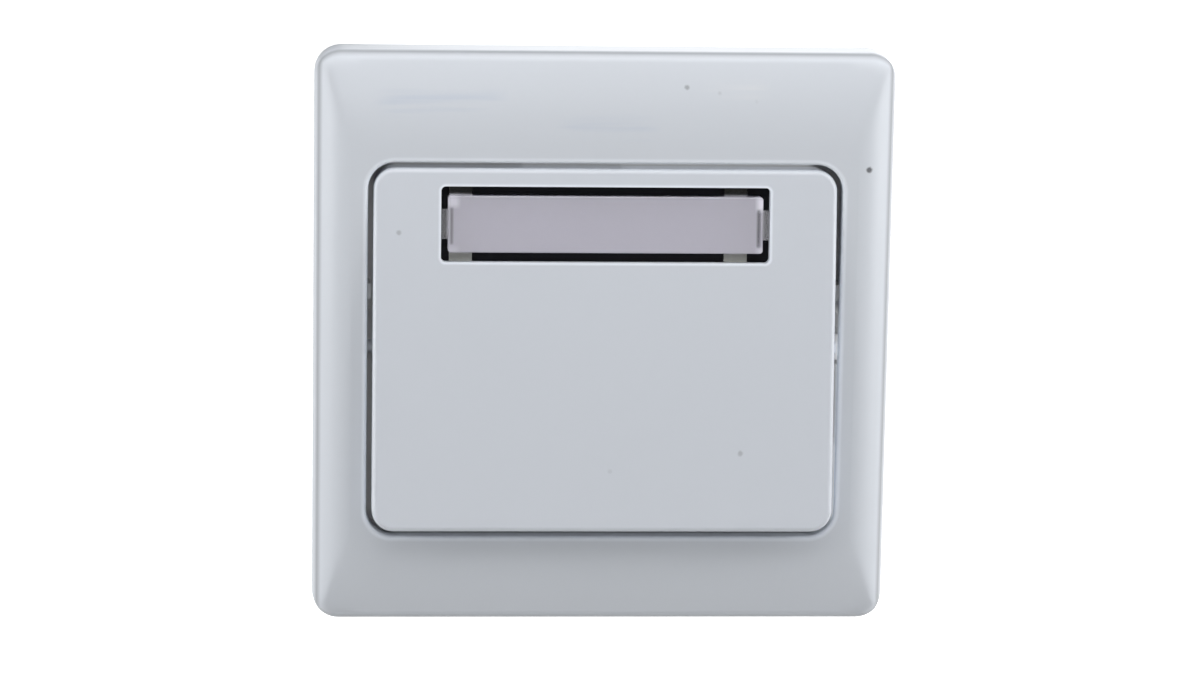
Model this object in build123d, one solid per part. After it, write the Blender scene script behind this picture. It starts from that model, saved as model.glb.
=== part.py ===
"""Illuminated doorbell switch for a square wall box.

A wide rocker plate with a lit name window turns on two stub axles in a cushion-shaped frame.
Pressing its lower part pushes a sprung plunger, whose bridge closes two fixed contacts.

Lengths are in millimetres.  X points right and Z points up, both seen from the front.
Y points into the wall, and the wall's surface is at Y = 0.  The origin is midway between
the two fixing slots.
"""
import os
from math import cos, hypot, pi, radians, sin, sqrt

from build123d import *

# Outer frame
plate_size = 86.0             # side of the square outline
plate_corner = 4.0            # corner radius of the outline
plate_depth = 8.8             # from the wall to the flat of the front
frame_side = 7.95             # frame beside the opening, left and right
frame_above = 16.3            # frame above the opening
frame_below = 13.3            # frame below it, all of it gently bowed
side_flat = 2.35              # flat between the opening and the roll at the left and right
side_roll_r = 5.7             # radius of that roll
end_bow_r = 40.0              # radius of the bow above and below
rim_fillet = 2.0              # rounding along the outer rim
shell_wall = 1.8              # wall of the moulding
opening_corner = 4.0
opening_edge = 0.5            # rounding of the opening's front edge
collar_wall = 1.1             # wall that runs back round the opening
collar_depth = 3.2            # reach of that wall behind the front of the frame
frame_rib = 1.0               # stiffening ribs above and below the opening
frame_rib_pitch = 22.0
frame_rib_depth = 2.6
notch_play = 0.6              # round the axle lugs and guide posts, in the collar

# Rocker plate
rocker_gap = 0.8              # rocker to the opening, left and right
rocker_end_gap = 1.15         # and above and below, while the rocker is level
rocker_proud = 2.1            # level rocker in front of the flat of the frame
rocker_skin = 1.9             # thickness of the front
rocker_wall = 1.4             # thickness of the skirt
skirt_gap = 0.46              # skirt to the support plate at rest
rocker_edge = 0.8             # rounding of the front edge
rocker_rib = 1.0              # thickness of the ribs under the front
rocker_rib_depth = 0.9
rocker_rib_pitch = 20.0
rest_tilt = 4.5               # degrees that the bottom stands out at rest
press_travel = 4.2            # degrees that a full press turns it
axle_r = 1.0
axle_clearance = 0.05         # radial
ear_height = 7.0              # skirt round the axle, along Z
ear_edge = 0.2                # skirt behind the axle's upright reach

# Window in the rocker
window_width = 48.6
window_height = 11.2
window_corner = 0.7
window_below = 2.7            # top of the window below the top of the rocker
lens_end_gap = 1.0            # lens to each end of the window
lens_gap = 1.4                # lens to the top and bottom of the window
lens_corner = 0.5
lens_recess = 0.3             # lens behind the front of the rocker
lens_seat = 0.3               # lens sunk into the tray
tab_height = 4.4              # end tabs of the lens
tab_thick = 1.0
lug_width = 3.4               # small lugs above and below the lens
lug_thick = 0.8
lug_inset = 1.9               # left lugs from the lens's end, to their centre
lug_inset_right = 4.0
lens_edge = 0.25              # rounding of the lens's front edge
card_thick = 0.3
diffuser_thick = 0.7
tray_floor = 0.7
tray_rim = 1.8                # tray beyond the window at each end
tray_ledge = 0.95             # tray beyond the window above and below
tray_play = 0.1               # round the lens, the card and the diffuser
tray_light_end = 2.15         # light opening inside the lens's outline, at each end
tray_light_side = 1.35        # and above and below
hook_width = 6.0              # hooks that hold the tray to the rocker
hook_thick = 1.2
hook_bite = 0.7
hook_barb = 0.6

# Support plate
support_gap = 2.2             # all round, inside the frame's wall
support_corner = 3.0
support_thick = 2.2
fixing_inset = 12.85          # fixing slots inside the edge of the frame, 60.3 between centres
slot_width = 4.2
slot_length = 8.0
slot_pad_margin = 2.6         # raised pad round each slot
slot_pad_height = 0.8
rim_rib = 1.2                 # upright rib round the edge
rim_rib_height = 1.2
rim_rib_inset = 0.6
band_rib_pitch = 12.0         # short ribs above and below the rocker
lug_clear = 0.7               # axle lug to the rocker's side
lug_front_gap = 0.25          # axle lug and guide post to the frame's front wall
lug_foot = 1.0                # foot of the axle lug, beyond it and above the plate
axle_lug_thick = 1.6
axle_lug_wall = 0.8           # round the axle's hole
post_clear = 0.3              # guide post to the rocker's side
post_rise = 8.6               # guide posts above the axle
post_height = 2.3
latch_height = 8.0            # tongues that hold the frame to the support plate
latch_rise = 24.0
latch_bite = 1.1
latch_barb = 0.8
latch_arm = 3.4               # depth of the tongues from the wall
latch_back = 0.15             # barbs in front of the wall, and pocket play
latch_play = 0.3

# Housing of the mechanism
housing_width = 42.0
board_headroom = 1.65         # housing's top wall above the lamp board
plunger_room = 6.9            # housing's bottom wall below the plunger's axis
housing_corner = 1.5
housing_front = 2.0           # in front of the wall
housing_wall = 1.6
housing_play = 0.3            # round the housing in the support plate
divider_drop = 8.15           # wall between lamp and switch, below the lamp board
divider_short = 1.0           # the divider ends before the cover
light_slot_margin = 0.5       # light slot beyond the outer lamps
light_slot_height = 7.0
ear_reach = 4.0               # screw centres of the ears beyond the side walls
ear_r = 3.3
ear_thick = 2.0
ear_rises = (7.0, -13.0)
boss_r = 2.7                  # screw bosses on the support plate
boss_height = 1.2
cover_thick = 2.0
wire_entry_r = 2.0
screw_r = 1.1
screw_length = 5.2
screw_head_r = 2.1
screw_head = 1.5
screw_head_edge = 0.4
screw_slot_width = 0.5
screw_slot_depth = 0.6
screw_play = 0.05             # radial, in its hole
cover_post_r = 2.2
upper_post_x = 10.0           # screw posts of the cover, mirrored in X
upper_post_rise = 4.0         # above the divider
lower_post_x = 7.0
lower_post_drop = 4.9         # below the plunger
post_hole_depth = 4.6
cover_gap = 0.22              # cover behind the terminal blocks

# Plunger and moving contact
plunger_drop = 14.0           # plunger below the axle
boss_reach = 3.6              # rocker boss under the front
rocker_boss_r = 2.5
plunger_r = 3.0
dome_r = 8.0
contact_lift = 0.03           # between the boss and the plunger's dome
guide_clearance = 0.05        # radial
guide_wall = 1.45
guide_front = 2.4             # guide tube in front of the housing
guide_back = 1.8              # guide tube behind the housing's front wall
stop_play = 0.1
collar_r = 4.2
plunger_collar = 1.2
stem_r = 1.5
stem_tail = 0.3               # stem behind the retainer
contact_spring_length = 4.3
contact_spring_r = 2.05       # mean radius of the winding
contact_wire_r = 0.2
contact_turns = 3.0
bridge_thick = 0.6
bridge_length = 16.4
bridge_width = 4.6
bridge_play = 0.05
retainer_r = 3.1
retainer_thick = 1.0
retainer_play = 0.01
return_spring_r = 2.2
return_wire_r = 0.22
return_turns = 5.0
spring_play = 0.03
seat_r = 3.5
seat_height = 0.9
seat_pin_r = 1.6
seat_pin_length = 2.0

# Fixed contacts and terminals
tip_r = 1.2
tip_thick = 0.6
tip_spread = 6.2              # contact tips to each side of the plunger
contact_margin = 0.05         # gap that is left at full press
strip_thick = 0.8
strip_width = 5.0
strip_inner = 4.4             # strip ends to each side of the plunger
strip_short = 0.2             # strip ends inside the terminal block's outer side
strip_corner = 1.0
solder_tab_width = 2.4
solder_tab_reach = 3.4        # tab above the strip
strip_rib = 1.2               # housing ribs that carry the strips
strip_rib_inner = 9.4
terminal_inset = 6.5          # terminals inside the housing's side
terminal_width = 6.6
terminal_height = 6.6
terminal_depth = 5.5
terminal_edge = 0.6
wire_bore_r = 1.6
clamp_screw_r = 1.5
clamp_head_r = 2.3
clamp_head = 1.8
clamp_play = 0.05
clamp_access_r = 2.7

# Lamp
board_gap = 0.4               # board to the housing's side walls
board_height = 10.4
board_thick = 1.2
board_drop = 1.7              # board centre below the window centre
board_front = 3.6             # front of the board behind the wall
pillar_r = 1.2
pillar_inset = 1.6            # pillars inside the board's ends
pillar_edge = 1.3             # pillars inside the board's upper and lower edges
led_inset = 5.0               # outer lamps inside the board's ends
led_r = 1.5
led_flange_r = 1.9
led_flange = 1.0
led_length = 5.0
led_leg_r = 0.25
led_leg_spread = 1.27
leg_tail = 1.0                # legs behind the board
leg_play = 0.1
part_drop = 3.3               # resistor and diode below the board centre
part_inset = 11.0             # resistor and diode inside the board's ends
resistor_r = 1.15
resistor_length = 6.2
resistor_span = 10.0
diode_r = 1.0
diode_length = 4.2
diode_span = 9.0
part_lift = 0.15
wire_bend = 0.6
solder_r = 0.7
solder_height = 0.4
lead_outset = 1.5             # leads outside the terminals' centres
lead_r = 0.5
lead_lift = 1.7               # leads run this far behind the strips
lead_bend = 1.2

# Places in the frame and the rocker that follow from the sizes above
half = plate_size / 2
side_band = frame_side - side_flat
end_band = frame_below
opening_width = plate_size - 2 * frame_side
opening_height = plate_size - frame_above - frame_below
frame_inside = -plate_depth + shell_wall
axle_z = (frame_below - frame_above) / 2
axle_lug_r = axle_r + axle_clearance + axle_lug_wall
axle_y = frame_inside + lug_front_gap + axle_lug_r
rocker_width = opening_width - 2 * rocker_gap
rocker_height = opening_height - 2 * rocker_end_gap
rocker_front = -plate_depth - rocker_proud
rocker_half = rocker_width / 2
rocker_top = axle_z + rocker_height / 2
rocker_corner = opening_corner - rocker_gap
top_drop = rocker_height / 2 * sin(radians(rest_tilt))
skirt_back = -support_thick - skirt_gap - top_drop
ear_back = axle_y + axle_r + ear_edge
skin_back = rocker_front + rocker_skin
plunger_z = axle_z - plunger_drop
plunger_travel = plunger_drop * radians(press_travel)

# Places in the window
window_top = rocker_top - window_below
window_z = window_top - window_height / 2
lens_width = window_width - 2 * lens_end_gap
lens_height = window_height - 2 * lens_gap
lens_front = rocker_front + lens_recess
lens_back = skin_back + lens_seat
card_back = lens_back + card_thick
diffuser_back = card_back + diffuser_thick
tray_back = diffuser_back + tray_floor
tray_width = window_width + 2 * tray_rim
tray_height = window_height + 2 * tray_ledge

# Places on the support plate
support_size = plate_size - 2 * (shell_wall + support_gap)
fixing_centres = plate_size - 2 * fixing_inset
support_front = -support_thick
lug_left = rocker_half + lug_clear
lug_right = lug_left + axle_lug_thick
screw_ear_x = housing_width / 2 + ear_reach

# Places along the plunger, from the front to the back
front_wall_inside = -housing_front + housing_wall
collar_front = front_wall_inside + guide_back + stop_play
collar_back = collar_front + plunger_collar
bridge_front = collar_back + contact_spring_length
retainer_front = bridge_front + bridge_thick
retainer_back = retainer_front + retainer_thick
tip_gap = plunger_travel + contact_margin
strip_front = retainer_front + tip_thick + tip_gap + tip_thick
strip_back = strip_front + strip_thick
terminal_back = strip_back + terminal_depth
clamp_y = strip_back + terminal_depth / 2
housing_back = terminal_back + cover_gap
cover_back = housing_back + cover_thick
seat_front = housing_back - seat_height

# Places of the terminals and the lamp
housing_side = housing_width / 2
inner_side = housing_side - housing_wall
terminal_x = housing_side - terminal_inset
terminal_end = terminal_x + terminal_width / 2
lead_x = terminal_x + lead_outset
lead_y = strip_back + lead_lift
board_width = 2 * (inner_side - board_gap)
board_z = window_z - board_drop
board_back = board_front + board_thick
led_pitch = board_width / 2 - led_inset
part_x = board_width / 2 - part_inset
part_z = board_z - part_drop
divider_z = board_z - board_height / 2 - divider_drop
housing_top = board_z + board_height / 2 + board_headroom + housing_wall
housing_bottom = plunger_z - plunger_room - housing_wall
housing_height = housing_top - housing_bottom
housing_z = (housing_top + housing_bottom) / 2
pillar_x = board_width / 2 - pillar_inset
pillar_rise = board_height / 2 - pillar_edge
cover_posts = (
    (upper_post_x, divider_z + upper_post_rise),
    (lower_post_x, plunger_z - lower_post_drop),
)


def prism(outline, front, back):
    """Outline in X and Z, carried along Y from front to back."""
    return extrude(Plane.XZ.offset(-back) * outline, amount=back - front)


def rod_y(x, z, radius, front, back):
    return prism(Pos(x, z) * Circle(radius), front, back)


def rod_x(y, z, radius, left, right):
    """Round rod along X."""
    return extrude(Plane.YZ.offset(left) * Pos(y, z) * Circle(radius), amount=right - left)


def block(left, right, front, back, bottom, top):
    """Square block between two corners."""
    outline = Pos((left + right) / 2, (bottom + top) / 2) * Rectangle(right - left, top - bottom)
    return prism(outline, front, back)


def both_sides(shape):
    return shape + mirror(shape, about=Plane.YZ)


def at_rest(shape):
    """Turn a piece of the rocker from level to its rest position."""
    pivot = Axis((0, axle_y, axle_z), (1, 0, 0))
    return shape.rotate(pivot, -rest_tilt)


def arc_fall(band, radius):
    """Depth that an arc falls over a band."""
    return radius - sqrt(radius**2 - band**2)


def bowed_profile(band, reach, depth, radius):
    """Flat front that falls away along an arc at both ends, drawn a little past the reach."""
    flat = reach - band
    end = reach + min(1, (radius - band) / 2)
    end_y = arc_fall(end - flat, radius) - depth
    return make_face([
        Line((end, 1), (-end, 1)),
        Line((-end, 1), (-end, end_y)),
        TangentArc((-flat, -depth), (-end, end_y), tangent=(-1, 0)),
        Line((-flat, -depth), (flat, -depth)),
        TangentArc((flat, -depth), (end, end_y), tangent=(1, 0)),
        Line((end, end_y), (end, 1)),
    ])


def cushion(reach, depth, band_x, roll, band_z, bow, corner):
    """Square block whose front rolls off left and right and bows off above and below."""
    solid = prism(RectangleRounded(2 * reach, 2 * reach, corner), -depth - 1, 0)
    below = Plane.XY.offset(-reach - 1)
    solid &= extrude(below * bowed_profile(band_x, reach, depth, roll), amount=2 * reach + 2)
    aside = Plane(origin=(reach + 1, 0, 0), x_dir=(0, 0, 1), z_dir=(-1, 0, 0))
    solid &= extrude(aside * bowed_profile(band_z, reach, depth, bow), amount=2 * reach + 2)
    return solid


def on_outline(edge, reach, corner):
    """Tell whether an edge's middle lies on the upright wall of a rounded square."""
    beyond_x = max(abs(edge.center().X) - (reach - corner), 0)
    beyond_z = max(abs(edge.center().Z) - (reach - corner), 0)
    return abs(hypot(beyond_x, beyond_z) - corner) < 0.01


def make_outer_frame():
    outer = cushion(half, plate_depth, side_band, side_roll_r, end_band, end_bow_r, plate_corner)
    rim = [
        edge for edge in outer.edges()
        if on_outline(edge, half, plate_corner)
        and abs(edge.center().Z) > half - plate_corner
        and edge.center().Y < -rim_fillet
        and edge.length > rim_fillet / 2
    ]
    outer = fillet(rim, rim_fillet)
    inner = cushion(
        half - shell_wall, plate_depth - shell_wall, side_band - shell_wall,
        side_roll_r - shell_wall, end_band - shell_wall, end_bow_r - shell_wall,
        plate_corner - shell_wall,
    )
    place = Pos(0, axle_z)
    opening = place * RectangleRounded(opening_width, opening_height, opening_corner)
    collar = place * RectangleRounded(
        opening_width + 2 * collar_wall, opening_height + 2 * collar_wall,
        opening_corner + collar_wall,
    )
    frame = outer - inner
    frame += prism(collar, frame_inside - shell_wall / 2, -plate_depth + collar_depth)
    frame += frame_ribs() & outer
    frame -= prism(opening, -plate_depth - 1, 0)
    front_edge = [
        edge for edge in frame.edges()
        if abs(edge.center().Y + plate_depth) < 0.01
        and abs(edge.center().X) < opening_width / 2 + 0.01
        and abs(edge.center().Z - axle_z) < opening_height / 2 + 0.01
    ]
    frame = fillet(front_edge, opening_edge)
    frame -= both_sides(block(
        opening_width / 2 - 1, lug_right + notch_play, frame_inside, 0,
        axle_z - axle_lug_r - notch_play, axle_z + post_rise + post_height / 2 + notch_play,
    ))
    return frame + frame_tongues()


def frame_ribs():
    """Upright ribs from the collar to the rim, above and below the opening."""
    ribs = Part()
    front = frame_inside - shell_wall / 2
    back = frame_inside + frame_rib_depth
    reach = opening_height / 2 + collar_wall / 2
    wall = half - shell_wall / 2
    for step in (-1, 0, 1):
        left = step * frame_rib_pitch - frame_rib / 2
        ribs += block(left, left + frame_rib, front, back, axle_z + reach, wall)
        ribs += block(left, left + frame_rib, front, back, -wall, axle_z - reach)
    return ribs


def frame_tongues():
    """Four tongues whose barbs reach under the edge of the support plate."""
    tongues = Part()
    edge = support_size / 2
    wall = half - shell_wall / 2
    barb_front = -latch_back - latch_barb
    for rise in (-latch_rise, latch_rise):
        bottom = rise - latch_height / 2
        top = rise + latch_height / 2
        arm = block(edge + latch_play, wall, -latch_arm, -latch_back, bottom, top)
        barb = block(edge - latch_bite, wall, barb_front, -latch_back, bottom, top)
        tongues += both_sides(arm + barb)
    return tongues


def make_rocker():
    place = Pos(0, axle_z)
    outline = place * RectangleRounded(rocker_width, rocker_height, rocker_corner)
    shape = prism(outline, rocker_front, skirt_back)
    front = shape.faces().sort_by(Axis.Y)[0]
    shape = fillet(front.edges(), rocker_edge)
    inside = place * RectangleRounded(
        rocker_width - 2 * rocker_wall, rocker_height - 2 * rocker_wall, rocker_corner - rocker_wall,
    )
    cavity = prism(inside, skin_back, 0)
    shape -= cavity
    shape += rocker_ribs() & cavity
    window = RectangleRounded(window_width, window_height, window_corner)
    shape -= prism(Pos(0, window_z) * window, rocker_front - 1, 0)
    ear = block(
        rocker_half - rocker_wall, rocker_half, skirt_back - rocker_wall, ear_back,
        axle_z - ear_height / 2, axle_z + ear_height / 2,
    )
    stub = rod_x(axle_y, axle_z, axle_r, rocker_half - rocker_wall / 2, lug_right)
    shape += both_sides(ear + stub)
    shape += both_sides(tray_hook())
    shape += rod_y(0, plunger_z, rocker_boss_r, skin_back - rocker_skin / 4, skin_back + boss_reach)
    return at_rest(shape)


def rocker_ribs():
    """Grid of low ribs under the front, below the window."""
    ribs = Part()
    bottom = axle_z - rocker_height / 2
    top = window_z - tray_height / 2 - rocker_rib
    back = skin_back + rocker_rib_depth
    for step in (-1, 0, 1):
        left = step * rocker_rib_pitch - rocker_rib / 2
        ribs += block(left, left + rocker_rib, skin_back, back, bottom, top)
    for z in (plunger_z, axle_z):
        low = z - rocker_rib / 2
        ribs += block(-rocker_half, rocker_half, skin_back, back, low, low + rocker_rib)
    return ribs


def tray_hook():
    """Right-hand hook that holds the end of the tray."""
    inner = tray_width / 2 + tray_play
    outer = inner + hook_thick
    bottom = window_z - hook_width / 2
    top = window_z + hook_width / 2
    root = skin_back - rocker_skin / 4
    arm = block(inner, outer, root, tray_back + hook_barb, bottom, top)
    barb = block(inner - hook_bite, outer, tray_back, tray_back + hook_barb, bottom, top)
    return arm + barb


def make_card_tray():
    place = Pos(0, window_z)
    tray = place * RectangleRounded(tray_width, tray_height, window_corner)
    pocket = place * RectangleRounded(
        lens_width + 2 * tray_play, lens_height + 2 * tray_play, lens_corner + tray_play,
    )
    light = place * RectangleRounded(
        lens_width - 2 * tray_light_end, lens_height - 2 * tray_light_side, lens_corner,
    )
    shape = prism(tray, skin_back, tray_back)
    shape -= prism(pocket, skin_back - 1, diffuser_back)
    shape -= prism(light, skin_back - 1, tray_back + 1)
    return at_rest(shape)


def make_window_lens():
    place = Pos(0, window_z)
    lens = prism(place * RectangleRounded(lens_width, lens_height, lens_corner), lens_front, lens_back)
    lens = fillet(lens.faces().sort_by(Axis.Y)[0].edges(), lens_edge)
    tab_front = lens_front + lens_recess
    tab_end = window_width / 2 - tray_play
    tab = block(
        lens_width / 2 - lens_edge, tab_end, tab_front, tab_front + tab_thick,
        window_z - tab_height / 2, window_z + tab_height / 2,
    )
    lens += both_sides(tab)
    reach = window_height / 2 - tray_play
    root = lens_height / 2 - lens_edge
    for x in (lug_inset - lens_width / 2, lens_width / 2 - lug_inset_right):
        left = x - lug_width / 2
        right = x + lug_width / 2
        lower = skin_back - lug_thick
        upper = skin_back - lug_thick / 2
        lens += block(left, right, lower, skin_back, window_z - reach, window_z - root)
        lens += block(left, right, upper, skin_back, window_z + root, window_z + reach)
    return at_rest(lens)


def make_name_card():
    outline = Pos(0, window_z) * RectangleRounded(lens_width, lens_height, lens_corner)
    return at_rest(prism(outline, lens_back, card_back))


def make_light_diffuser():
    outline = Pos(0, window_z) * RectangleRounded(lens_width, lens_height, lens_corner)
    return at_rest(prism(outline, card_back, diffuser_back))


def make_support_plate():
    plate = prism(RectangleRounded(support_size, support_size, support_corner), support_front, 0)
    rib_outer = support_size - 2 * rim_rib_inset
    rib_inner = rib_outer - 2 * rim_rib
    rib = RectangleRounded(rib_outer, rib_outer, support_corner - rim_rib_inset)
    rib -= RectangleRounded(rib_inner, rib_inner, support_corner - rim_rib_inset - rim_rib)
    plate += prism(rib, support_front - rim_rib_height, support_front)
    plate += band_ribs()
    slot_place = Pos(fixing_centres / 2, 0)
    pad = SlotOverall(slot_length + 2 * slot_pad_margin, slot_width + 2 * slot_pad_margin)
    plate += both_sides(prism(slot_place * pad, support_front - slot_pad_height, support_front))
    for rise in ear_rises:
        boss = rod_y(screw_ear_x, rise, boss_r, support_front - boss_height, support_front)
        plate += both_sides(boss)
    plate += both_sides(axle_lug()) + both_sides(guide_post())
    aperture = Pos(0, housing_z) * RectangleRounded(
        housing_width + 2 * housing_play, housing_height + 2 * housing_play,
        housing_corner + housing_play,
    )
    plate -= prism(aperture, -plate_depth, 1)
    plate -= both_sides(prism(slot_place * SlotOverall(slot_length, slot_width), -plate_depth, 1))
    for rise in ear_rises:
        plate -= both_sides(rod_y(screw_ear_x, rise, screw_r + screw_play, -plate_depth, 1))
    return plate - latch_pockets()


def band_ribs():
    """Short ribs on the support plate, above and below the reach of the rocker."""
    ribs = Part()
    front = support_front - rim_rib_height
    outer = support_size / 2 - rim_rib_inset - rim_rib / 2
    reach = opening_height / 2 + collar_wall
    for step in (-2, -1, 0, 1, 2):
        left = step * band_rib_pitch - rim_rib / 2
        ribs += block(left, left + rim_rib, front, support_front, axle_z + reach, outer)
        ribs += block(left, left + rim_rib, front, support_front, -outer, axle_z - reach)
    return ribs


def axle_lug():
    """Right-hand lug with the hole for the stub axle."""
    lug = rod_x(axle_y, axle_z, axle_lug_r, lug_left, lug_right)
    lug += block(
        lug_left, lug_right, axle_y, support_front, axle_z - axle_lug_r, axle_z + axle_lug_r,
    )
    foot_reach = axle_lug_r + lug_foot
    lug += block(
        lug_left, lug_right, support_front - lug_foot, support_front,
        axle_z - foot_reach, axle_z + foot_reach,
    )
    return lug - rod_x(axle_y, axle_z, axle_r + axle_clearance, lug_left - 1, lug_right + 1)


def guide_post():
    """Right-hand post that keeps the rocker central."""
    z = axle_z + post_rise
    return block(
        rocker_half + post_clear, lug_right, frame_inside + lug_front_gap, support_front,
        z - post_height / 2, z + post_height / 2,
    )


def latch_pockets():
    """Pockets in the back edge of the support plate, for the frame's barbs."""
    pockets = Part()
    edge = support_size / 2
    reach = latch_height / 2 + latch_play
    front = -latch_barb - 2 * latch_back
    for rise in (-latch_rise, latch_rise):
        left = edge - latch_bite - latch_play
        pockets += both_sides(block(left, edge + 1, front, 1, rise - reach, rise + reach))
    return pockets


def make_mechanism_housing():
    outline = Pos(0, housing_z) * RectangleRounded(housing_width, housing_height, housing_corner)
    cavity = Pos(0, housing_z) * RectangleRounded(
        housing_width - 2 * housing_wall, housing_height - 2 * housing_wall, housing_corner / 2,
    )
    root = front_wall_inside - housing_wall / 4
    side_root = inner_side + housing_wall / 4
    housing = prism(outline, -housing_front, housing_back)
    housing -= prism(cavity, front_wall_inside, housing_back + 1)
    housing += block(
        -side_root, side_root, root, housing_back - divider_short,
        divider_z - housing_wall / 2, divider_z + housing_wall / 2,
    )
    guide_r = plunger_r + guide_clearance + guide_wall
    housing += rod_y(
        0, plunger_z, guide_r, -housing_front - guide_front, front_wall_inside + guide_back,
    )
    for x, z in cover_posts:
        housing += both_sides(rod_y(x, z, cover_post_r, root, housing_back))
    for z in (board_z - pillar_rise, board_z + pillar_rise):
        housing += both_sides(rod_y(pillar_x, z, pillar_r, root, board_front))
    for step in (-1, 1):
        z = plunger_z + step * (strip_width - strip_rib) / 2
        housing += both_sides(block(
            strip_rib_inner, side_root, root, strip_front, z - strip_rib / 2, z + strip_rib / 2,
        ))
    for rise in ear_rises:
        housing += both_sides(housing_ear(rise))
    return housing - housing_cuts()


def housing_ear(rise):
    """Right-hand screw ear that lies against the back of the support plate."""
    tip = rod_y(screw_ear_x, rise, ear_r, 0, ear_thick)
    return tip + block(inner_side, screw_ear_x, 0, ear_thick, rise - ear_r, rise + ear_r)


def housing_cuts():
    """Plunger bore, light slot, lead notches, screw holes and ways to the terminal screws."""
    cuts = rod_y(0, plunger_z, plunger_r + guide_clearance, -plate_depth, collar_front)
    light_width = 2 * (led_pitch + led_r + light_slot_margin)
    light = Pos(0, window_z) * RectangleRounded(light_width, light_slot_height, window_corner)
    cuts += prism(light, -housing_front - 1, front_wall_inside)
    notch = block(
        lead_x - 2 * lead_r, lead_x + 2 * lead_r, lead_y - 2 * lead_r, housing_back + 1,
        divider_z - housing_wall, divider_z + housing_wall,
    )
    cuts += both_sides(notch)
    for x, z in cover_posts:
        hole = rod_y(x, z, screw_r + screw_play, housing_back - post_hole_depth, housing_back + 1)
        cuts += both_sides(hole)
    for rise in ear_rises:
        cuts += both_sides(rod_y(screw_ear_x, rise, screw_r + screw_play, -1, ear_thick + 1))
    access = rod_x(clamp_y, plunger_z, clamp_access_r, terminal_end, housing_side + 1)
    return cuts + both_sides(access)


def make_rear_cover():
    outline = Pos(0, housing_z) * RectangleRounded(housing_width, housing_height, housing_corner)
    cover = prism(outline, housing_back, cover_back)
    for x, z in cover_posts:
        cover -= both_sides(rod_y(x, z, screw_r + screw_play, housing_back - 1, cover_back + 1))
    entry = rod_y(terminal_x, plunger_z, wire_entry_r, housing_back - 1, cover_back + 1)
    cover -= both_sides(entry)
    root = housing_back + cover_thick / 4
    cover += rod_y(0, plunger_z, seat_r, seat_front, root)
    cover += rod_y(0, plunger_z, seat_pin_r, seat_front - seat_pin_length, root)
    post = rod_y(pillar_x, board_z + pillar_rise, pillar_r, board_back, root)
    return cover + both_sides(post)


def small_screw(seat):
    """Pan-head screw along Y, shank towards the front, head on the seat."""
    shank = rod_y(0, 0, screw_r, seat - screw_length, seat)
    head = rod_y(0, 0, screw_head_r, seat, seat + screw_head)
    head = chamfer(head.faces().sort_by(Axis.Y)[-1].edges(), screw_head_edge)
    slot = block(
        -screw_head_r, screw_head_r, seat + screw_head - screw_slot_depth, seat + screw_head + 1,
        -screw_slot_width / 2, screw_slot_width / 2,
    )
    return shank + head - slot


def make_housing_screws():
    """Four through the ears and four through the cover."""
    screws = []
    for side in (-1, 1):
        for rise in ear_rises:
            screws.append(Pos(side * screw_ear_x, 0, rise) * small_screw(ear_thick))
        for x, z in cover_posts:
            screws.append(Pos(side * x, 0, z) * small_screw(cover_back))
    return Compound(screws)


def dome_front():
    """Tip of the plunger's dome, a little behind the tilted boss of the rocker."""
    tilt = radians(rest_tilt)
    arm_y = skin_back + boss_reach - axle_y
    boss_y = axle_y + arm_y * cos(tilt) - plunger_drop * sin(tilt)
    boss_z = axle_z - plunger_drop * cos(tilt) - arm_y * sin(tilt)
    offset = (plunger_z - boss_z) * sin(tilt)
    return boss_y - dome_r + (dome_r + contact_lift + offset) / cos(tilt)


def make_plunger():
    tip = dome_front()
    shoulder = tip + dome_r / 2
    body = rod_y(0, plunger_z, plunger_r, tip, collar_back)
    dome = Pos(0, tip + dome_r, plunger_z) * Sphere(dome_r)
    body &= dome + rod_y(0, plunger_z, plunger_r + 1, shoulder, collar_back)
    body += rod_y(0, plunger_z, collar_r, collar_front, collar_back)
    return body + rod_y(0, plunger_z, stem_r, collar_front, retainer_back + stem_tail)


def make_contact_bridge():
    strip = Pos(0, plunger_z) * SlotOverall(bridge_length, bridge_width)
    bridge = prism(strip, bridge_front, retainer_front)
    return bridge - rod_y(0, plunger_z, stem_r + bridge_play, bridge_front - 1, retainer_front + 1)


def contact_tips(front):
    return Compound([
        rod_y(x, plunger_z, tip_r, front, front + tip_thick) for x in (-tip_spread, tip_spread)
    ])


def make_spring_retainer():
    ring = rod_y(0, plunger_z, retainer_r, retainer_front, retainer_back)
    ring = chamfer(ring.faces().sort_by(Axis.Y)[-1].edges(), retainer_thick * 0.3)
    return ring - rod_y(0, plunger_z, stem_r + retainer_play, retainer_front - 1, retainer_back + 1)


def helix_point(radius, rise_per_turn, angle):
    return Vector(radius * cos(angle), radius * sin(angle), rise_per_turn * angle / (2 * pi))


def helix_heading(radius, rise_per_turn, angle):
    climb = rise_per_turn / (2 * pi)
    return Vector(-radius * sin(angle), radius * cos(angle), climb).normalized()


def biarc(start, heading, end, end_heading):
    """Two arcs that leave start and reach end along the given headings."""
    chord = end - start
    both = heading + end_heading
    share = 2 * (1 - heading.dot(end_heading))
    along = chord.dot(both)
    reach = (sqrt(along**2 + share * chord.dot(chord)) - along) / share
    first = start + heading * reach
    second = end - end_heading * reach
    middle = (first + second) * 0.5
    passing = (second - first).normalized()
    return [
        TangentArc(start, middle, tangent=heading),
        TangentArc(middle, end, tangent=passing),
    ]


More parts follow.
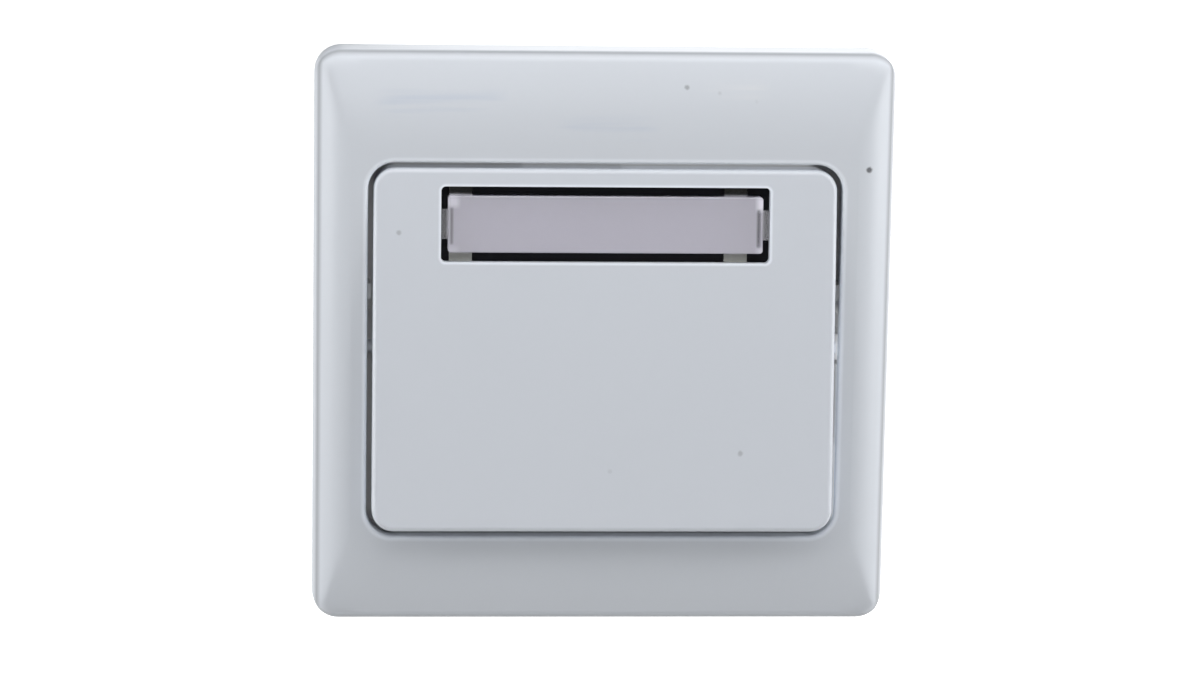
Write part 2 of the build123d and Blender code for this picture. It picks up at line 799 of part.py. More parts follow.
def coil(radius, wire, turns, front, back):
    """Compression spring along Y, wound as one tube on half-turn biarcs."""
    length = back - front - 2 * wire
    pitch = length / turns
    gap = pitch - 2 * wire
    print(f"spring of mean radius {radius} mm: least gap between turns {gap:.2f} mm")
    arcs = []
    for step in range(round(2 * turns)):
        angle = step * pi
        later = angle + pi
        arcs += biarc(
            helix_point(radius, pitch, angle), helix_heading(radius, pitch, angle),
            helix_point(radius, pitch, later), helix_heading(radius, pitch, later),
        )
    path = Wire(arcs)
    tube = sweep(thin_wire(path, wire), path=path)
    along_y = Plane(origin=(0, front + wire, plunger_z), x_dir=(1, 0, 0), z_dir=(0, 1, 0))
    return along_y * tube


def thin_wire(path, radius):
    """Eight-sided section at the start of a path, for wire too thin to need a round one."""
    return Plane(origin=path @ 0, z_dir=path % 0) * RegularPolygon(radius, 8)


def make_contact_spring():
    front = collar_back + spring_play
    back = bridge_front - spring_play
    return coil(contact_spring_r, contact_wire_r, contact_turns, front, back)


def make_return_spring():
    front = retainer_back + spring_play
    back = seat_front - spring_play
    return coil(return_spring_r, return_wire_r, return_turns, front, back)


def make_fixed_contact():
    """Right-hand brass strip from the contact tip to the terminal, with a solder tab."""
    low = plunger_z - strip_width / 2
    high = plunger_z + strip_width / 2
    strip = block(strip_inner, terminal_end - strip_short, strip_front, strip_back, low, high)
    strip += block(
        lead_x - solder_tab_width / 2, lead_x + solder_tab_width / 2, strip_front, strip_back,
        high - strip_corner, high + solder_tab_reach,
    )
    corners = strip.edges().filter_by(Axis.Y).group_by(Axis.X)[0]
    return fillet(corners, strip_corner)


def make_terminal_blocks():
    body = block(
        terminal_x - terminal_width / 2, terminal_end, strip_back, terminal_back,
        plunger_z - terminal_height / 2, plunger_z + terminal_height / 2,
    )
    body = fillet(body.edges().filter_by(Axis.Y), terminal_edge)
    body -= rod_y(terminal_x, plunger_z, wire_bore_r, strip_back - 1, terminal_back + 1)
    body -= rod_x(clamp_y, plunger_z, clamp_screw_r + clamp_play, terminal_x, terminal_end + 1)
    return Compound([body, mirror(body, about=Plane.YZ)])


def make_terminal_screws():
    head_end = terminal_end + clamp_head
    shank = rod_x(clamp_y, plunger_z, clamp_screw_r, terminal_x + clamp_screw_r / 3, terminal_end)
    head = rod_x(clamp_y, plunger_z, clamp_head_r, terminal_end, head_end)
    head = chamfer(head.faces().sort_by(Axis.X)[-1].edges(), screw_head_edge)
    slot = block(
        head_end - screw_slot_depth, head_end + 1, clamp_y - clamp_head_r, clamp_y + clamp_head_r,
        plunger_z - screw_slot_width / 2, plunger_z + screw_slot_width / 2,
    )
    screw = shank + head - slot
    return Compound([screw, mirror(screw, about=Plane.YZ)])


def led_places():
    return [-led_pitch, 0, led_pitch]


def make_lamp_board():
    outline = RectangleRounded(board_width, board_height, 0.5)
    board = prism(Pos(0, board_z) * outline, board_front, board_back)
    hole_r = led_leg_r + leg_play
    for x in led_places():
        for side in (-1, 1):
            board -= rod_y(x + side * led_leg_spread, window_z, hole_r, board_front - 1, board_back + 1)
    for centre, span in ((-part_x, resistor_span), (part_x, diode_span)):
        for side in (-1, 1):
            board -= rod_y(centre + side * span / 2, part_z, hole_r, board_front - 1, board_back + 1)
    return board


def make_lamp_leds():
    leds = []
    dome_y = board_front - led_length + led_r
    for x in led_places():
        body = rod_y(x, window_z, led_r, dome_y, board_front)
        body += Pos(x, dome_y, window_z) * Sphere(led_r)
        body += rod_y(x, window_z, led_flange_r, board_front - led_flange, board_front)
        for leg_x in (x - led_leg_spread, x + led_leg_spread):
            body += rod_y(leg_x, window_z, led_leg_r, board_front - led_flange / 2, board_back + leg_tail)
            body += solder_cone(leg_x, window_z)
        leds.append(body)
    return Compound(leds)


def solder_cone(x, z):
    """Solder at a leg, standing on the back of the board."""
    cone = Cone(solder_r, led_leg_r, solder_height)
    place = Plane(origin=(x, board_back + solder_height / 2, z), x_dir=(1, 0, 0), z_dir=(0, 1, 0))
    return place * cone


def axial_part(centre, radius, length, span):
    """Resistor or diode that lies behind the board on its two bent legs."""
    y = board_back + part_lift + radius
    body = rod_x(y, part_z, radius, centre - length / 2, centre + length / 2)
    body = chamfer(body.edges().filter_by(GeomType.CIRCLE), radius / 3)
    foot = board_front + board_thick / 2
    left = centre - span / 2
    right = centre + span / 2
    route = FilletPolyline(
        (left, foot, part_z), (left, y, part_z), (right, y, part_z), (right, foot, part_z),
        radius=wire_bend,
    )
    body += sweep(thin_wire(route, led_leg_r), path=route)
    return body + solder_cone(left, part_z) + solder_cone(right, part_z)


def make_lamp_leads():
    """Two insulated leads from the board to the solder tabs of the strips."""
    tab_z = plunger_z + (strip_width + solder_tab_reach) / 2
    route = FilletPolyline(
        (lead_x, board_back, part_z), (lead_x, lead_y, part_z),
        (lead_x, lead_y, tab_z), (lead_x, strip_back, tab_z),
        radius=lead_bend,
    )
    section = Plane(origin=route @ 0, z_dir=route % 0) * Circle(lead_r)
    lead = sweep(section, path=route)
    return Compound([lead, mirror(lead, about=Plane.YZ)])


def save(shape, node):
    export_step(shape, f"parts/{node}.step")


os.makedirs("parts", exist_ok=True)
save(make_outer_frame(), "outer_frame")
save(make_support_plate(), "support_plate")
save(make_rocker(), "rocker")
save(make_window_lens(), "window_lens")
save(make_name_card(), "name_card")
save(make_light_diffuser(), "light_diffuser")
save(make_card_tray(), "card_tray")
save(make_mechanism_housing(), "mechanism_housing")
save(make_rear_cover(), "rear_cover")
save(make_housing_screws(), "housing_screws")
save(make_plunger(), "plunger")
save(make_contact_spring(), "contact_spring")
save(make_contact_bridge(), "contact_bridge")
save(contact_tips(retainer_front), "bridge_tips")
save(make_spring_retainer(), "spring_retainer")
save(make_return_spring(), "return_spring")
fixed_contact = make_fixed_contact()
save(mirror(fixed_contact, about=Plane.YZ), "fixed_contact_left")
save(fixed_contact, "fixed_contact_right")
save(contact_tips(strip_front - tip_thick), "fixed_tips")
save(make_terminal_blocks(), "terminal_blocks")
save(make_terminal_screws(), "terminal_screws")
save(make_lamp_board(), "lamp_board")
save(make_lamp_leds(), "lamp_leds")
save(axial_part(-part_x, resistor_r, resistor_length, resistor_span), "lamp_resistor")
save(axial_part(part_x, diode_r, diode_length, diode_span), "lamp_diode")
save(make_lamp_leads(), "lamp_leads")
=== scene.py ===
import bpy
import numpy as np
from mathutils import Matrix, Vector


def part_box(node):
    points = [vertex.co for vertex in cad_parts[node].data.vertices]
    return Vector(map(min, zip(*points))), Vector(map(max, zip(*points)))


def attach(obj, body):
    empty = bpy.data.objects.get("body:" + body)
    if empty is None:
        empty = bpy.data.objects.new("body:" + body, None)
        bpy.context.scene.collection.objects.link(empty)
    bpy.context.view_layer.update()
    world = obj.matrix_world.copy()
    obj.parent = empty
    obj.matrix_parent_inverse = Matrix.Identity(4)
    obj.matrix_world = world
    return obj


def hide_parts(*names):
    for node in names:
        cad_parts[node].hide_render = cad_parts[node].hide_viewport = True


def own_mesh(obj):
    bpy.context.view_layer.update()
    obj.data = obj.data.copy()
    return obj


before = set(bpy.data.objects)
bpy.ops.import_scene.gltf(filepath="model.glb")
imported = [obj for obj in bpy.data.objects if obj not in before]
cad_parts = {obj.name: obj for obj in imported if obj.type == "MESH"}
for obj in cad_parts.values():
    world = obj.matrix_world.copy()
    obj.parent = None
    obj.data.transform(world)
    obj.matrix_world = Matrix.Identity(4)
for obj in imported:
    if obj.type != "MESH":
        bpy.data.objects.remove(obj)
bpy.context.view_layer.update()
mm = 0.001
print("frame loaded")

# the view of the photograph: where the camera stands and how it leans, in degrees and metres,
# and the length of its lens on a sensor of that width, in mm
cameraSet = {
    "azimuth": -3.95, "elevation": 11.3, "lean": 0.98,
    "distance": 0.6904, "lens": 138.75, "sensor": 36.0,
    "aim": (-0.24 * mm, -4.0 * mm, -0.305 * mm), "near": 0.01, "far": 20.0,
}


def makeCamera():
    # back points from the aim to the camera; right and up are turned about it by the lean
    az, el, lean = np.radians([cameraSet["azimuth"], cameraSet["elevation"], cameraSet["lean"]])
    back = Vector((np.sin(az) * np.cos(el), -np.cos(az) * np.cos(el), np.sin(el)))
    level = (-back).cross(Vector((0, 0, 1))).normalized()
    upright = level.cross(-back)
    right = level * np.cos(lean) + upright * np.sin(lean)
    up = upright * np.cos(lean) - level * np.sin(lean)
    data = bpy.data.cameras.new("photoCamera")
    data.lens = cameraSet["lens"]
    data.sensor_width = cameraSet["sensor"]
    data.clip_start, data.clip_end = cameraSet["near"], cameraSet["far"]
    cam = bpy.data.objects.new("photoCamera", data)
    bpy.context.scene.collection.objects.link(cam)
    place = Matrix((right, up, back)).transposed().to_4x4()
    place.translation = Vector(cameraSet["aim"]) + back * cameraSet["distance"]
    cam.matrix_world = place
    bpy.context.scene.camera = cam


makeCamera()
bpy.context.scene.view_settings.view_transform = "Standard"

# soft studio light: one wide lamp above, one at each side, one behind, a weak one by the camera;
# place and size in metres, strength in watts; world is the strength of the light from all round
lightSet = {
    "above": {"at": (0.03, -0.11, 0.27), "size": (0.6, 0.3), "watts": 1.32},
    "left": {"at": (-0.58, -0.13, -0.02), "size": (0.4, 0.9), "watts": 4.7},
    "right": {"at": (0.58, -0.13, -0.02), "size": (0.4, 0.9), "watts": 4.9},
    "front": {"at": (-0.08, -0.88, 0.24), "size": (0.2, 0.2), "watts": 0.4},
    "behind": {"at": (0.35, 0.95, 0.35), "size": (0.8, 0.8), "watts": 3.2},
    "world": 0.02,
}


def makeLamp(name, at, size, watts):
    # a rectangle of light turned to face the middle of the plate
    data = bpy.data.lights.new(name + "Lamp", "AREA")
    data.shape = "RECTANGLE"
    data.size, data.size_y = size
    data.energy = watts
    lamp = bpy.data.objects.new(name + "Lamp", data)
    bpy.context.scene.collection.objects.link(lamp)
    lamp.location = at
    lamp.rotation_mode = "QUATERNION"
    lamp.rotation_quaternion = (-Vector(at)).to_track_quat("-Z", "Y")


def makeWorld():
    # pale all round, plain white where the camera looks past the floor
    world = bpy.data.worlds.new("studioWorld")
    bpy.context.scene.world = world
    world.use_nodes = True
    nodes, links = world.node_tree.nodes, world.node_tree.links
    nodes.clear()
    out = nodes.new("ShaderNodeOutputWorld")
    mix = nodes.new("ShaderNodeMixShader")
    path = nodes.new("ShaderNodeLightPath")
    soft = nodes.new("ShaderNodeBackground")
    soft.inputs["Color"].default_value = (1, 1, 1, 1)
    soft.inputs["Strength"].default_value = lightSet["world"]
    white = nodes.new("ShaderNodeBackground")
    white.inputs["Color"].default_value = (1, 1, 1, 1)
    white.inputs["Strength"].default_value = 1.0
    links.new(path.outputs["Is Camera Ray"], mix.inputs["Fac"])
    links.new(soft.outputs["Background"], mix.inputs[1])
    links.new(white.outputs["Background"], mix.inputs[2])
    links.new(mix.outputs["Shader"], out.inputs["Surface"])


for lampName in ("above", "left", "right", "front", "behind"):
    makeLamp(lampName, **lightSet[lampName])
makeWorld()
print("camera and lights made")


def newGroup(name, ins, outs):
    # a shader node group with the named inputs and outputs
    group = bpy.data.node_groups.new(name, "ShaderNodeTree")
    for label, kind, value in ins:
        socket = group.interface.new_socket(name=label, in_out="INPUT", socket_type=kind)
        if value is not None:
            socket.default_value = value
    for label, kind in outs:
        group.interface.new_socket(name=label, in_out="OUTPUT", socket_type=kind)
    return group, group.nodes.new("NodeGroupInput"), group.nodes.new("NodeGroupOutput")


def addMath(tree, kind, a, b=None, clamp=False):
    # one Math node; a and b are sockets or plain numbers
    node = tree.nodes.new("ShaderNodeMath")
    node.operation = kind
    node.use_clamp = clamp
    for slot, value in ((0, a), (1, b)):
        if isinstance(value, bpy.types.NodeSocket):
            tree.links.new(value, node.inputs[slot])
        elif value is not None:
            node.inputs[slot].default_value = value
    return node.outputs[0]


def addVector(tree, kind, a, b=None):
    # one Vector Math node whose answer is a vector
    node = tree.nodes.new("ShaderNodeVectorMath")
    node.operation = kind
    for slot, value in ((0, a), (1, b)):
        if isinstance(value, bpy.types.NodeSocket):
            tree.links.new(value, node.inputs[slot])
        elif value is not None:
            node.inputs[slot].default_value = value
    return node.outputs["Vector"]


def addNoise(tree, vector, scale, detail=2.0, rough=0.5):
    node = tree.nodes.new("ShaderNodeTexNoise")
    node.inputs["Detail"].default_value = detail
    node.inputs["Roughness"].default_value = rough
    tree.links.new(vector, node.inputs["Vector"])
    if isinstance(scale, bpy.types.NodeSocket):
        tree.links.new(scale, node.inputs["Scale"])
    else:
        node.inputs["Scale"].default_value = scale
    return node.outputs["Fac"]


def addRange(tree, value, low, high, toLow=0.0, toHigh=1.0):
    node = tree.nodes.new("ShaderNodeMapRange")
    node.inputs["From Min"].default_value = low
    node.inputs["From Max"].default_value = high
    node.inputs["To Min"].default_value = toLow
    node.inputs["To Max"].default_value = toHigh
    tree.links.new(value, node.inputs["Value"])
    return node.outputs["Result"]


# what the shared groups are made with: noise scales per metre, and the ends of value ranges
groupSet = {
    "broadScale": 38.0, "spotScale": 2600.0, "stainScale": 240.0,
    "drawnFrom": (0.3, 0.7), "drawnTo": (0.86, 1.08), "stainFrom": (0.5, 0.75),
    "wipeStretch": (0.06, 1.0, 1.0), "wipeFrom": (0.42, 0.62),
}


def makeGrainGroup():
    # moulded skin: broad mottling, fine ripple as height, roughness that drifts
    group, given, out = newGroup(
        "mouldedSkin",
        [("Vector", "NodeSocketVector", None), ("Ripple Scale", "NodeSocketFloat", 900.0),
         ("Mottle", "NodeSocketFloat", 0.03), ("Roughness", "NodeSocketFloat", 0.3),
         ("Drift", "NodeSocketFloat", 0.05)],
        [("Shade", "NodeSocketFloat"), ("Roughness", "NodeSocketFloat"), ("Height", "NodeSocketFloat")],
    )
    at = given.outputs["Vector"]
    broad = addNoise(group, at, groupSet["broadScale"], 2.0, 0.5)
    ripple = addNoise(group, at, given.outputs["Ripple Scale"], 1.0, 0.4)
    centred = addMath(group, "SUBTRACT", broad, 0.5)
    shade = addMath(group, "ADD", 1.0, addMath(group, "MULTIPLY", centred, given.outputs["Mottle"]))
    wander = addMath(group, "MULTIPLY", centred, given.outputs["Drift"])
    rough = addMath(group, "ADD", given.outputs["Roughness"], wander)
    group.links.new(shade, out.inputs["Shade"])
    group.links.new(rough, out.inputs["Roughness"])
    group.links.new(ripple, out.inputs["Height"])
    return group


def makeSpeckGroup():
    # scattered dark specks: the cells of a Voronoi pattern whose middles lie near, thinned by a noise
    group, given, out = newGroup(
        "dustSpecks",
        [("Vector", "NodeSocketVector", None), ("Scale", "NodeSocketFloat", 260.0),
         ("Size", "NodeSocketFloat", 0.06), ("Share", "NodeSocketFloat", 0.6)],
        [("Mask", "NodeSocketFloat")],
    )
    cells = group.nodes.new("ShaderNodeTexVoronoi")
    cells.inputs["Randomness"].default_value = 1.0
    group.links.new(given.outputs["Vector"], cells.inputs["Vector"])
    group.links.new(given.outputs["Scale"], cells.inputs["Scale"])
    near = addMath(group, "LESS_THAN", cells.outputs["Distance"], given.outputs["Size"])
    parts = group.nodes.new("ShaderNodeSeparateColor")
    group.links.new(cells.outputs["Color"], parts.inputs["Color"])
    kept = addMath(group, "GREATER_THAN", parts.outputs["Red"], given.outputs["Share"])
    group.links.new(addMath(group, "MULTIPLY", near, kept), out.inputs["Mask"])
    return group


def makeBrushGroup():
    # drawn or turned metal: a noise stretched along one axis, as height and shade
    group, given, out = newGroup(
        "metalDrawn",
        [("Vector", "NodeSocketVector", None), ("Fine", "NodeSocketFloat", 3000.0),
         ("Stain", "NodeSocketFloat", 0.3)],
        [("Shade", "NodeSocketFloat"), ("Height", "NodeSocketFloat"), ("Stain", "NodeSocketFloat")],
    )
    at = given.outputs["Vector"]
    lines = addNoise(group, at, given.outputs["Fine"], 2.0, 0.6)
    patch = addNoise(group, at, groupSet["stainScale"], 4.0, 0.6)
    shade = addRange(group, lines, *groupSet["drawnFrom"], *groupSet["drawnTo"])
    stained = addRange(group, patch, *groupSet["stainFrom"])
    stain = addMath(group, "MULTIPLY", stained, given.outputs["Stain"], True)
    group.links.new(shade, out.inputs["Shade"])
    group.links.new(lines, out.inputs["Height"])
    group.links.new(stain, out.inputs["Stain"])
    return group


def makePatchGroup():
    # a box-shaped patch: 1 within half of the centre on all three axes, falling to 0 over the soft rim
    group, given, out = newGroup(
        "boxPatch",
        [("Vector", "NodeSocketVector", None), ("Centre", "NodeSocketVector", (0, 0, 0)),
         ("Half", "NodeSocketVector", (1, 1, 1)), ("Soft", "NodeSocketFloat", 0.0002)],
        [("Mask", "NodeSocketFloat")],
    )
    off = addVector(group, "SUBTRACT", given.outputs["Vector"], given.outputs["Centre"])
    over = addVector(group, "SUBTRACT", addVector(group, "ABSOLUTE", off), given.outputs["Half"])
    parts = group.nodes.new("ShaderNodeSeparateXYZ")
    group.links.new(over, parts.inputs["Vector"])
    mask = None
    for axis in "XYZ":
        share = addMath(group, "DIVIDE", parts.outputs[axis], given.outputs["Soft"])
        inside = addMath(group, "SUBTRACT", 0.5, share, True)
        mask = inside if mask is None else addMath(group, "MULTIPLY", mask, inside)
    group.links.new(mask, out.inputs["Mask"])
    return group


def makeSpotGroup():
    # one uneven round mark: 1 inside the radius, whose rim a noise pushes in and out
    group, given, out = newGroup(
        "roundMark",
        [("Vector", "NodeSocketVector", None), ("Centre", "NodeSocketVector", (0, 0, 0)),
         ("Radius", "NodeSocketFloat", 0.0004), ("Soft", "NodeSocketFloat", 0.0003),
         ("Uneven", "NodeSocketFloat", 0.0003)],
        [("Mask", "NodeSocketFloat")],
    )
    far = group.nodes.new("ShaderNodeVectorMath")
    far.operation = "DISTANCE"
    group.links.new(given.outputs["Vector"], far.inputs[0])
    group.links.new(given.outputs["Centre"], far.inputs[1])
    noise = addNoise(group, given.outputs["Vector"], groupSet["spotScale"], 2.0)
    push = addMath(group, "MULTIPLY", addMath(group, "SUBTRACT", noise, 0.5), given.outputs["Uneven"])
    rim = addMath(group, "ADD", given.outputs["Radius"], push)
    inward = addMath(group, "SUBTRACT", rim, far.outputs["Value"])
    share = addMath(group, "DIVIDE", inward, given.outputs["Soft"])
    group.links.new(addMath(group, "ADD", share, 0.5, True), out.inputs["Mask"])
    return group


def makeSmearGroup():
    # wiped streaks along X: a noise drawn out sideways, kept where it is strong
    group, given, out = newGroup(
        "wipedStreaks",
        [("Vector", "NodeSocketVector", None), ("Scale", "NodeSocketFloat", 700.0)],
        [("Mask", "NodeSocketFloat")],
    )
    turn = group.nodes.new("ShaderNodeMapping")
    turn.inputs["Scale"].default_value = groupSet["wipeStretch"]
    group.links.new(given.outputs["Vector"], turn.inputs["Vector"])
    lines = addNoise(group, turn.outputs["Vector"], given.outputs["Scale"], 2.0, 0.5)
    group.links.new(addRange(group, lines, *groupSet["wipeFrom"]), out.inputs["Mask"])
    return group


def makeOutlineGroup():
    # a band along a rounded rectangle seen from the front: with p = |place - centre| - (half - corner),
    # the distance past the outline is |max(p, 0)| - corner; 1 on the middle of the band, 0 at its sides
    group, given, out = newGroup(
        "outlineBand",
        [("Vector", "NodeSocketVector", None), ("Centre", "NodeSocketVector", (0, 0, 0)),
         ("Core", "NodeSocketVector", (1, 0, 1)), ("Corner", "NodeSocketFloat", 0.001),
         ("Offset", "NodeSocketFloat", 0.0002), ("Width", "NodeSocketFloat", 0.0004)],
        [("Mask", "NodeSocketFloat")],
    )
    off = addVector(group, "SUBTRACT", given.outputs["Vector"], given.outputs["Centre"])
    flat = addVector(group, "MULTIPLY", off, (1, 0, 1))
    past = addVector(group, "SUBTRACT", addVector(group, "ABSOLUTE", flat), given.outputs["Core"])
    length = group.nodes.new("ShaderNodeVectorMath")
    length.operation = "LENGTH"
    group.links.new(addVector(group, "MAXIMUM", past, (0, 0, 0)), length.inputs[0])
    beyond = addMath(group, "SUBTRACT", length.outputs["Value"], given.outputs["Corner"])
    away = addMath(group, "ABSOLUTE", addMath(group, "SUBTRACT", beyond, given.outputs["Offset"]))
    share = addMath(group, "DIVIDE", away, given.outputs["Width"])
    group.links.new(addMath(group, "SUBTRACT", 1.0, share, True), out.inputs["Mask"])
    return group


grainGroup, speckGroup, brushGroup = makeGrainGroup(), makeSpeckGroup(), makeBrushGroup()
patchGroup, spotGroup, smearGroup = makePatchGroup(), makeSpotGroup(), makeSmearGroup()
outlineGroup = makeOutlineGroup()


def startMaterial(name):
    # an empty material with its shader, its output and its object coordinates
    material = bpy.data.materials.new(name)
    material.use_nodes = True
    tree = material.node_tree
    tree.nodes.clear()
    out = tree.nodes.new("ShaderNodeOutputMaterial")
    shader = tree.nodes.new("ShaderNodeBsdfPrincipled")
    tree.links.new(shader.outputs["BSDF"], out.inputs["Surface"])
    at = tree.nodes.new("ShaderNodeTexCoord").outputs["Object"]
    return material, tree, shader, at


def placeGroup(tree, group, at, **values):
    node = tree.nodes.new("ShaderNodeGroup")
    node.node_tree = group
    tree.links.new(at, node.inputs["Vector"])
    for label, value in values.items():
        node.inputs[label.replace("_", " ")].default_value = value
    return node


def shadeColour(tree, colour, factor):
    # a colour times a grey factor
    mix = tree.nodes.new("ShaderNodeMix")
    mix.data_type = "RGBA"
    mix.blend_type = "MULTIPLY"
    mix.inputs["Factor"].default_value = 1.0
    if isinstance(colour, bpy.types.NodeSocket):
        tree.links.new(colour, mix.inputs["A"])
    else:
        mix.inputs["A"].default_value = (*colour, 1.0)
    tree.links.new(factor, mix.inputs["B"])
    return mix.outputs["Result"]


def blendColour(tree, a, b, factor):
    mix = tree.nodes.new("ShaderNodeMix")
    mix.data_type = "RGBA"
    for label, value in (("A", a), ("B", b)):
        if isinstance(value, bpy.types.NodeSocket):
            tree.links.new(value, mix.inputs[label])
        else:
            mix.inputs[label].default_value = (*value, 1.0)
    if isinstance(factor, bpy.types.NodeSocket):
        tree.links.new(factor, mix.inputs["Factor"])
    else:
        mix.inputs["Factor"].default_value = factor
    return mix.outputs["Result"]


def addBump(tree, height, strength, distance, under=None):
    bump = tree.nodes.new("ShaderNodeBump")
    if under is not None:
        tree.links.new(under, bump.inputs["Normal"])
    bump.inputs["Strength"].default_value = strength
    bump.inputs["Distance"].default_value = distance
    tree.links.new(height, bump.inputs["Height"])
    return bump.outputs["Normal"]


def inMetres(values):
    return tuple(v * mm for v in values)


def patchMask(tree, at, centre, halfSize, soft=0.2):
    # centre, half size and soft rim in mm
    node = placeGroup(tree, patchGroup, at, Centre=inMetres(centre), Half=inMetres(halfSize),
                      Soft=soft * mm)
    return node.outputs["Mask"]


def strongestPatch(tree, at, places, soft):
    # the largest of several patches, each times its weight
    strongest = None
    for centre, halfSize, weight in places:
        share = addMath(tree, "MULTIPLY", patchMask(tree, at, centre, halfSize, soft), weight)
        strongest = share if strongest is None else addMath(tree, "MAXIMUM", strongest, share)
    return strongest


def spotMask(tree, at, centre, radius, soft=0.3, uneven=0.3):
    # centre, radius, soft rim and unevenness in mm
    node = placeGroup(tree, spotGroup, at, Centre=inMetres(centre), Radius=radius * mm, Soft=soft * mm,
                      Uneven=uneven * mm)
    return node.outputs["Mask"]


# shallow rings of ejector pins: width and soft rim in mm, strength, and height in metres
pinSet = {"width": 0.22, "soft": 0.1, "strength": 0.6, "height": 0.0001}


def pinRings(tree, at, pins):
    # height of the rings: each is a disc less a smaller disc
    height = None
    for centre, radius in pins:
        outer = spotMask(tree, at, centre, radius, pinSet["soft"], 0.0)
        inner = spotMask(tree, at, centre, radius - pinSet["width"], pinSet["soft"], 0.0)
        ring = addMath(tree, "SUBTRACT", outer, inner)
        height = ring if height is None else addMath(tree, "ADD", height, ring)
    return height


def softenedNormal(tree, at, corners):
    # the normal averaged over a small radius, used only in the boxes given
    bevel = tree.nodes.new("ShaderNodeBevel")
    bevel.samples = corners["samples"]
    bevel.inputs["Radius"].default_value = corners["radius"] * mm
    plain = tree.nodes.new("ShaderNodeNewGeometry").outputs["Normal"]
    mask = None
    for centre, halfSize in corners["boxes"]:
        box = patchMask(tree, at, centre, halfSize, corners["soft"])
        mask = box if mask is None else addMath(tree, "MAXIMUM", mask, box)
    mix = tree.nodes.new("ShaderNodeMix")
    mix.data_type = "VECTOR"
    tree.links.new(mask, mix.inputs["Factor"])
    tree.links.new(plain, mix.inputs["A"])
    tree.links.new(bevel.outputs["Normal"], mix.inputs["B"])
    return addVector(tree, "NORMALIZE", mix.outputs["Result"])


# soft rims of smears and of the painted light in the gaps in mm, height of the ripple in metres, refraction
# of the plastic
skinSet = {"smearSoft": 3.0, "paintedGapLightSoft": 1.2, "rippleHeight": 0.0002, "ior": 1.52}


def mouldedPlastic(name, colour, roughness, ripple=900.0, rippleDepth=0.02, mottle=0.03,
                   drift=0.04, speck=None, gloss=0.5, dirt=(0.35, 0.33, 0.30), marks=(), smears=(),
                   pins=(), paintedRimShade=None, softCorners=None, paintedGapLight=(), paintedEdgeHighlight=None):
    # injection-moulded plastic: skin mottling, ripple bump, a few specks, marks, wiped patches,
    # rings left by ejector pins, a line of painted shade where the front turns into the rim, and corners
    # whose facets run softly into each other; painted light glows in the gaps as an emission;
    # a painted highlight runs along the edge round an opening
    material, tree, shader, at = startMaterial(name)
    skin = placeGroup(tree, grainGroup, at, Ripple_Scale=ripple, Mottle=mottle,
                      Roughness=roughness, Drift=drift)
    tint = shadeColour(tree, colour, skin.outputs["Shade"])
    if speck:
        dots = placeGroup(tree, speckGroup, at, **speck)
        tint = blendColour(tree, tint, dirt, dots.outputs["Mask"])
    for centre, radius, weight in marks:
        share = addMath(tree, "MULTIPLY", spotMask(tree, at, centre, radius), weight)
        tint = blendColour(tree, tint, dirt, share)
    if smears:
        streaks = placeGroup(tree, smearGroup, at).outputs["Mask"]
    for centre, halfSize, colourOver, weight in smears:
        patch = patchMask(tree, at, centre, halfSize, skinSet["smearSoft"])
        share = addMath(tree, "MULTIPLY", patch, streaks)
        tint = blendColour(tree, tint, colourOver, addMath(tree, "MULTIPLY", share, weight))
    # painted shade: a darker line where the front turns into the rim
    if paintedRimShade:
        depth = tree.nodes.new("ShaderNodeSeparateXYZ")
        tree.links.new(at, depth.inputs["Vector"])
        middle, half, share = paintedRimShade
        away = addMath(tree, "ABSOLUTE", addMath(tree, "SUBTRACT", depth.outputs["Y"], middle * mm))
        tint = shadeColour(tree, tint, addRange(tree, away, 0.0, half * mm, share, 1.0))
    # painted highlight: a lighter band along the edge round an opening
    if paintedEdgeHighlight:
        (x, z), (halfX, halfZ), corner, offset, width, gain = paintedEdgeHighlight
        core = (halfX - corner, 0, halfZ - corner)
        band = placeGroup(tree, outlineGroup, at, Centre=inMetres((x, 0, z)), Core=inMetres(core),
                          Corner=corner * mm, Offset=offset * mm, Width=width * mm)
        tint = shadeColour(tree, tint, addRange(tree, band.outputs["Mask"], 0.0, 1.0, 1.0, gain))
    tree.links.new(tint, shader.inputs["Base Color"])
    tree.links.new(skin.outputs["Roughness"], shader.inputs["Roughness"])
    under = softenedNormal(tree, at, softCorners) if softCorners else None
    normal = addBump(tree, skin.outputs["Height"], rippleDepth, skinSet["rippleHeight"], under)
    if pins:
        normal = addBump(tree, pinRings(tree, at, pins), pinSet["strength"], pinSet["height"], normal)
    tree.links.new(normal, shader.inputs["Normal"])
    shader.inputs["IOR"].default_value = skinSet["ior"]
    shader.inputs["Specular IOR Level"].default_value = gloss
    # painted light: an emission of the plastic's colour that glows in the gaps, where shade falls
    if paintedGapLight:
        light = strongestPatch(tree, at, paintedGapLight, skinSet["paintedGapLightSoft"])
        tree.links.new(shadeColour(tree, colour, light), shader.inputs["Emission Color"])
        shader.inputs["Emission Strength"].default_value = 1.0
    return material


# scale of the marks per metre, strength of their bump and its height in metres, and the least and
# most that they change the roughness by, as factors
drawnSet = {"fine": 3000.0, "bump": 0.08, "height": 0.0001, "sway": (0.85, 1.2)}


